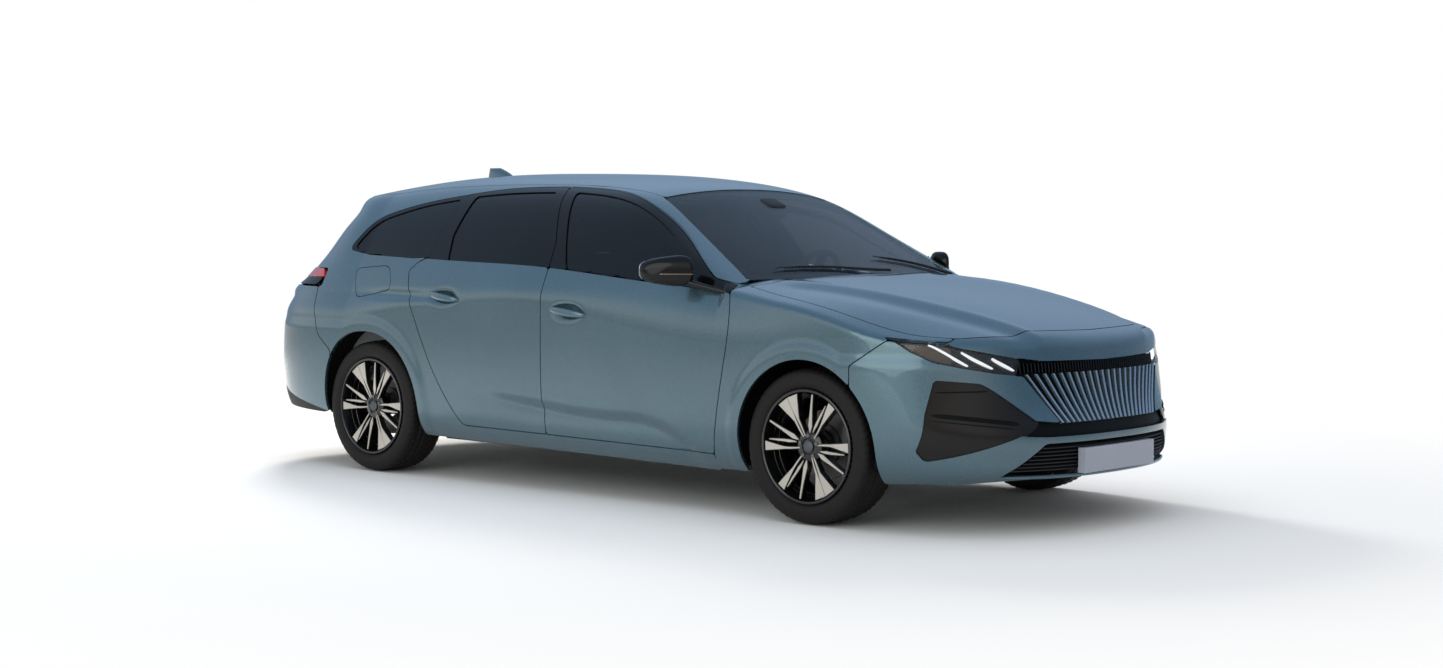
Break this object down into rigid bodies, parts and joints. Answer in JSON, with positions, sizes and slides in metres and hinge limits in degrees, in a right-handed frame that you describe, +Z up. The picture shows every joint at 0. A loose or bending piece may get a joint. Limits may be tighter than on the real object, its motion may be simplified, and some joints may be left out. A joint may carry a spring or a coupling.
{
  "type": "estate car",
  "caption": "Five-door estate car with opening doors, bonnet, tailgate and fuel flap, steered front wheels and free-turning wheels.",
  "frame": {"origin": "on the ground at the middle of the overall length, on the centre plane", "axes": "+X forward, +Y to the left of the car, +Z up"},
  "size_m": [4.648, 2.062, 1.486],
  "materials": {
    "body_paint": "metallic blue-grey lacquer over pressed steel",
    "glass_clear": "clear laminated glass",
    "glass_tinted": "dark tinted tempered glass",
    "gloss_black": "gloss black moulded trim",
    "matte_black": "grained black moulding",
    "lamp_front": "clear lamp cover",
    "lamp_rear": "red lamp cover",
    "tyre_rubber": "moulded black rubber",
    "wheel_alloy": "machined alloy with dark lacquered pockets",
    "seat_fabric": "woven cloth over foam",
    "floor_steel": "sealed and painted pressed steel",
    "cast_metal": "cast iron and steel",
    "raw_steel": "bare steel tube",
    "plate_white": "blank pressed plate"
  },
  "bodies": {
    "body": {"body_side_left": "body_paint", "body_side_right": "body_paint", "dashboard": "matte_black", "engine_block": "cast_metal", "exhaust": "raw_steel", "fender_left": "body_paint", "fender_right": "body_paint", "floor_pan": "floor_steel", "front_bumper": "body_paint", "front_frame": "floor_steel", "front_seats": "seat_fabric", "front_subframe": "cast_metal", "grille": "gloss_black", "headlamps": "lamp_front", "intake_grilles": "gloss_black", "number_plates": "plate_white", "quarter_windows": "glass_tinted", "rear_axle": "cast_metal", "rear_bumper": "body_paint", "rear_seat": "seat_fabric", "roof_antenna": "body_paint", "roof_panel": "body_paint", "tail_lamps": "lamp_rear", "wheel_arch_liners": "matte_black", "windscreen": "glass_clear", "wipers": "matte_black"},
    "bonnet_lid": {"bonnet": "body_paint"},
    "tailgate_lid": {"tailgate": "body_paint", "tailgate_glass": "glass_tinted"},
    "fuel_lid": {"fuel_flap": "body_paint"},
    "steering_wheel_body": {"steering_wheel": "matte_black"},
    "front_door_right": {"door_front_right": "body_paint", "door_glass_front_right": "glass_clear", "mirror_right": "gloss_black"},
    "rear_door_right": {"door_rear_right": "body_paint", "door_glass_rear_right": "glass_tinted"},
    "upright_right": {"knuckle_right": "cast_metal"},
    "front_wheel_right": {"tyre_front_right": "tyre_rubber", "rim_front_right": "wheel_alloy"},
    "rear_wheel_right": {"tyre_rear_right": "tyre_rubber", "rim_rear_right": "wheel_alloy"},
    "front_door_left": {"door_front_left": "body_paint", "door_glass_front_left": "glass_clear", "mirror_left": "gloss_black"},
    "rear_door_left": {"door_rear_left": "body_paint", "door_glass_rear_left": "glass_tinted"},
    "upright_left": {"knuckle_left": "cast_metal"},
    "front_wheel_left": {"tyre_front_left": "tyre_rubber", "rim_front_left": "wheel_alloy"},
    "rear_wheel_left": {"tyre_rear_left": "tyre_rubber", "rim_rear_left": "wheel_alloy"}
  },
  "joints": [
    {"name": "front_door_right_hinge", "type": "hinge", "parent": "body", "child": "front_door_right", "pos_m": [1, -0.917, 0.6], "axis": [0, 0, 1], "range_deg": [0, 68]},
    {"name": "rear_door_right_hinge", "type": "hinge", "parent": "body", "child": "rear_door_right", "pos_m": [-0.115, -0.912, 0.6], "axis": [0, 0, 1], "range_deg": [0, 70]},
    {"name": "steer_right", "type": "hinge", "parent": "body", "child": "upright_right", "pos_m": [1.408, -0.7, 0.2553], "axis": [0, 0.2405, 0.9706], "range_deg": [-33, 33]},
    {"name": "front_wheel_right_spin", "type": "hinge", "parent": "upright_right", "child": "front_wheel_right", "pos_m": [1.408, -0.7795, 0.317], "axis": [0, 1, 0], "continuous": true},
    {"name": "rear_wheel_right_spin", "type": "hinge", "parent": "body", "child": "rear_wheel_right", "pos_m": [-1.324, -0.7795, 0.317], "axis": [0, 1, 0], "continuous": true},
    {"name": "front_door_left_hinge", "type": "hinge", "parent": "body", "child": "front_door_left", "pos_m": [1, 0.917, 0.6], "axis": [0, 0, -1], "range_deg": [0, 68]},
    {"name": "rear_door_left_hinge", "type": "hinge", "parent": "body", "child": "rear_door_left", "pos_m": [-0.115, 0.912, 0.6], "axis": [0, 0, -1], "range_deg": [0, 70]},
    {"name": "steer_left", "type": "hinge", "parent": "body", "child": "upright_left", "pos_m": [1.408, 0.7, 0.2553], "axis": [0, -0.2405, 0.9706], "range_deg": [-33, 33]},
    {"name": "front_wheel_left_spin", "type": "hinge", "parent": "upright_left", "child": "front_wheel_left", "pos_m": [1.408, 0.7795, 0.317], "axis": [0, 1, 0], "continuous": true},
    {"name": "rear_wheel_left_spin", "type": "hinge", "parent": "body", "child": "rear_wheel_left", "pos_m": [-1.324, 0.7795, 0.317], "axis": [0, 1, 0], "continuous": true},
    {"name": "bonnet_hinge", "type": "hinge", "parent": "body", "child": "bonnet_lid", "pos_m": [1.005, 0, 0.96], "axis": [0, -1, 0], "range_deg": [0, 50]},
    {"name": "tailgate_hinge", "type": "hinge", "parent": "body", "child": "tailgate_lid", "pos_m": [-1.69, 0, 1.398], "axis": [0, 1, 0], "range_deg": [0, 76]},
    {"name": "fuel_flap_hinge", "type": "hinge", "parent": "body", "child": "fuel_lid", "pos_m": [-1.185, -0.905, 0.92], "axis": [0, 0, 1], "range_deg": [0, 80]},
    {"name": "steering_wheel_turn", "type": "hinge", "parent": "body", "child": "steering_wheel_body", "pos_m": [0.4, 0.37, 0.905], "axis": [-0.9135, 0, 0.4067], "range_deg": [-495, 495]}
  ],
  "couplings": [
    {"joint": "steer_left", "follows": "steer_right", "ratio": 1},
    {"joint": "steering_wheel_turn", "follows": "steer_right", "ratio": 15}
  ]
}
